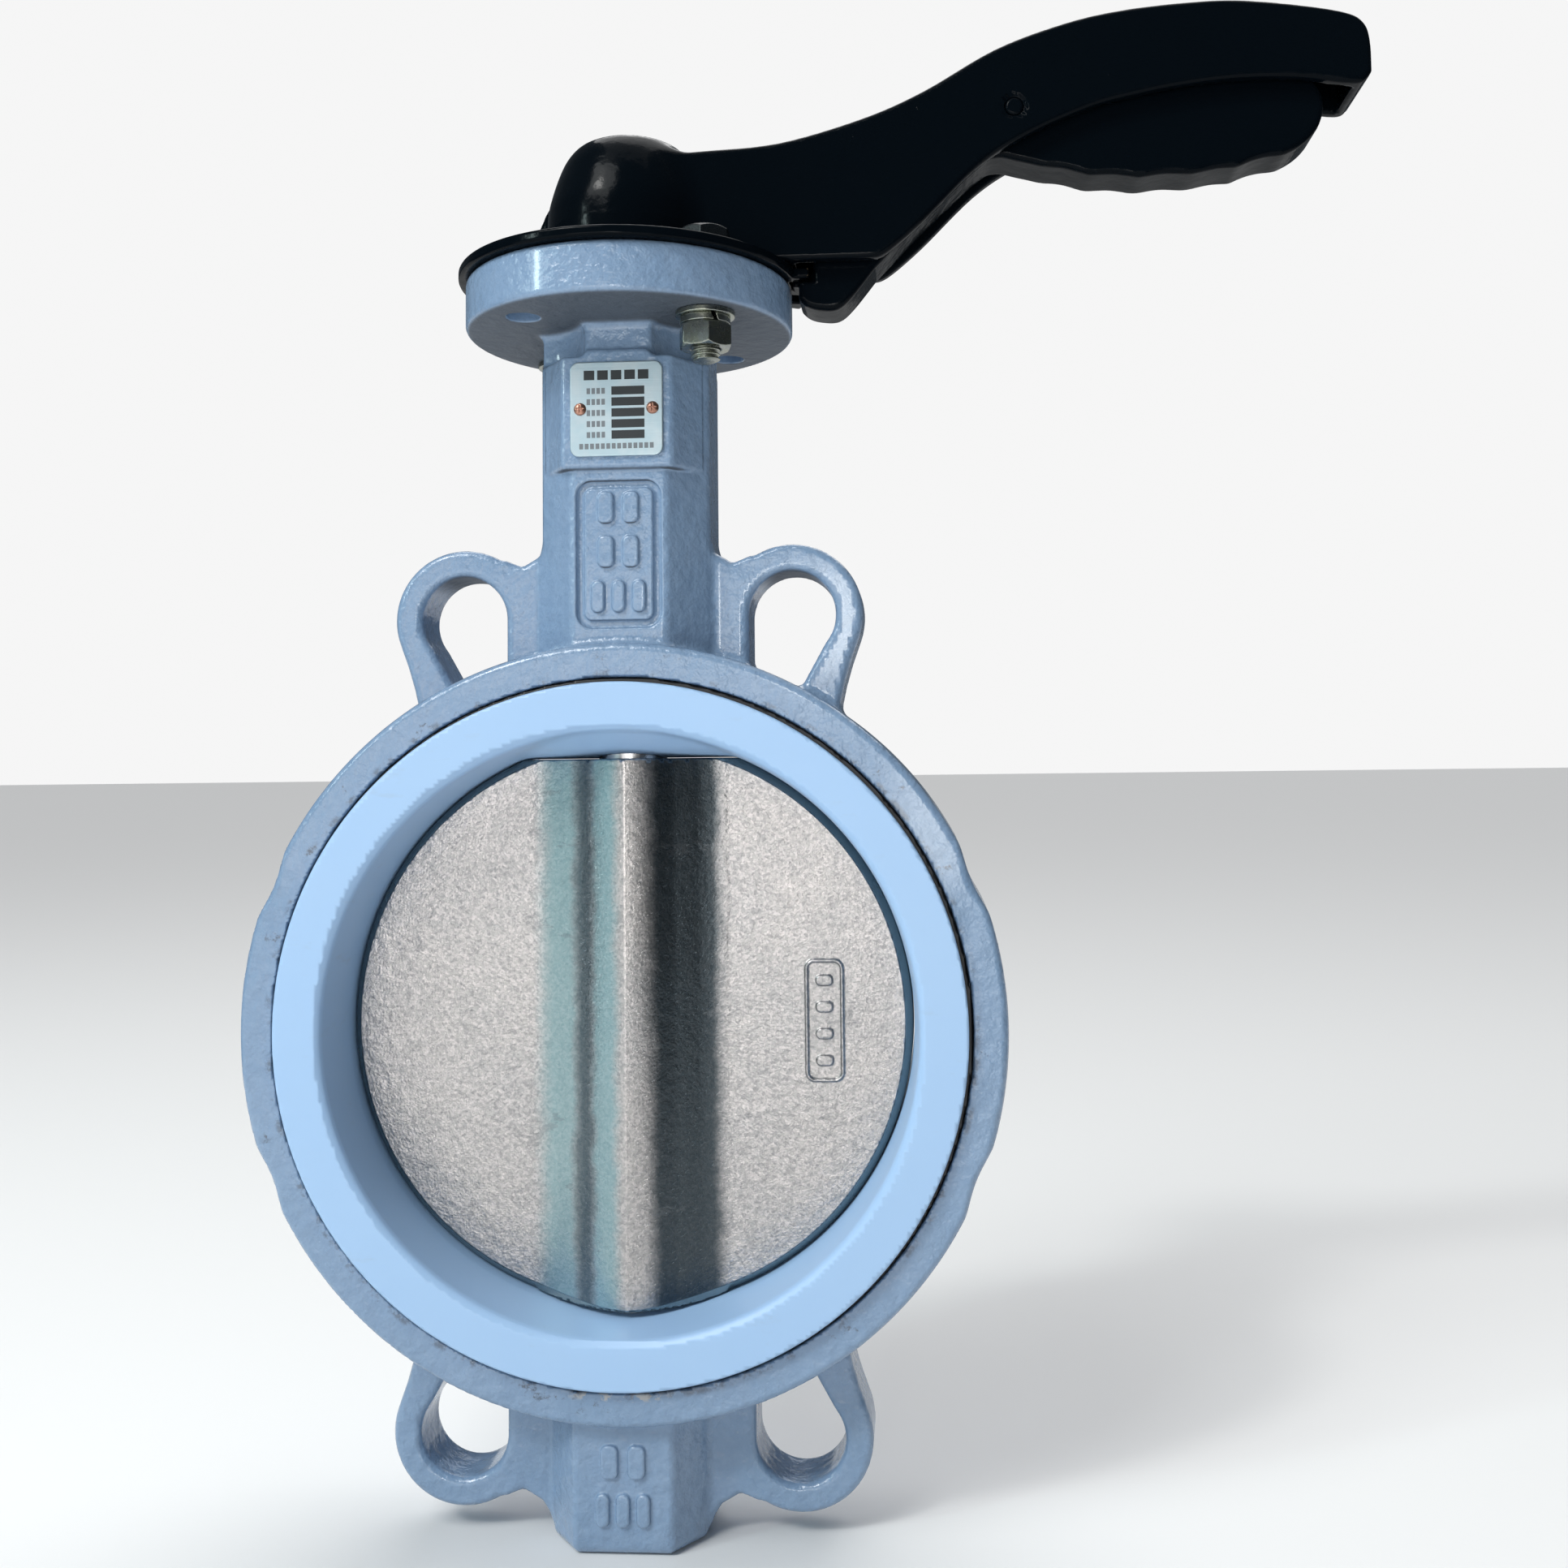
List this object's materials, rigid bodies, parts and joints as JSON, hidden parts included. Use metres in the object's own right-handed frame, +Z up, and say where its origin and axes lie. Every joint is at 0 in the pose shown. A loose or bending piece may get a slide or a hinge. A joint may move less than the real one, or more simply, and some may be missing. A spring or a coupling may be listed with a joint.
{
  "type": "butterfly valve",
  "caption": "Wafer butterfly valve for a 150 mm pipe, with a white lined seat, a centred disc and a notched squeeze lever on a plate.",
  "frame": {"origin": "where the stem axis crosses the pipe axis, at the centre of the disc", "axes": "+Z up along the stem to the lever, +Y along the pipe, +X along the lever when the disc is shut"},
  "size_m": [0.3081, 0.0999, 0.414],
  "materials": {
    "casting_paint": "lavender blue enamel over a sand cast skin",
    "seat_white": "smooth white fluoropolymer",
    "rubber": "matt black rubber",
    "cast_disc": "blasted stainless casting, coarse and sparkling",
    "stem_steel": "ground stainless steel",
    "spring_steel": "drawn spring wire",
    "bronze": "machined bearing bronze",
    "zinc": "bright zinc plate",
    "black_enamel": "glossy black enamel",
    "nameplate": "satin printed aluminium",
    "rivet": "copper coloured rivet"
  },
  "bodies": {
    "casing": {"valve_body": "casting_paint", "seat_backing": "rubber", "seat_liner": "seat_white", "upper_bush": "bronze", "middle_bush": "bronze", "lower_bush": "bronze", "upper_stem_seals": "rubber", "middle_stem_seal": "rubber", "lower_stem_seal": "rubber", "thrust_washer": "bronze", "thrust_pad": "bronze", "bottom_plug": "zinc", "plug_seal": "rubber", "latch_plate": "black_enamel", "plate_bolts": "zinc", "plate_flat_washers": "zinc", "plate_spring_washers": "zinc", "plate_nuts": "zinc", "nameplate": "nameplate", "nameplate_rivets": "rivet"},
    "lever_and_disc": {"disc": "cast_disc", "upper_stem": "stem_steel", "lower_stem": "stem_steel", "stem_circlip": "stem_steel", "lever_handle": "black_enamel", "lever_washer": "zinc", "lever_screw": "zinc", "trigger_pin": "stem_steel", "trigger_spring": "spring_steel"},
    "trigger": {"trigger": "black_enamel"}
  },
  "joints": [
    {"name": "lever_turn", "type": "hinge", "parent": "casing", "child": "lever_and_disc", "pos_m": [0, 0, 0], "axis": [0, 0, 1], "range_deg": [0, 90]},
    {"name": "trigger_squeeze", "type": "hinge", "parent": "lever_and_disc", "child": "trigger", "pos_m": [0.109, 0, 0.2496], "axis": [0, -1, 0], "range_deg": [0, 8], "stiffness_Nm_per_rad": 8, "springref_deg": -8.02, "deforming": ["trigger_spring"]}
  ]
}
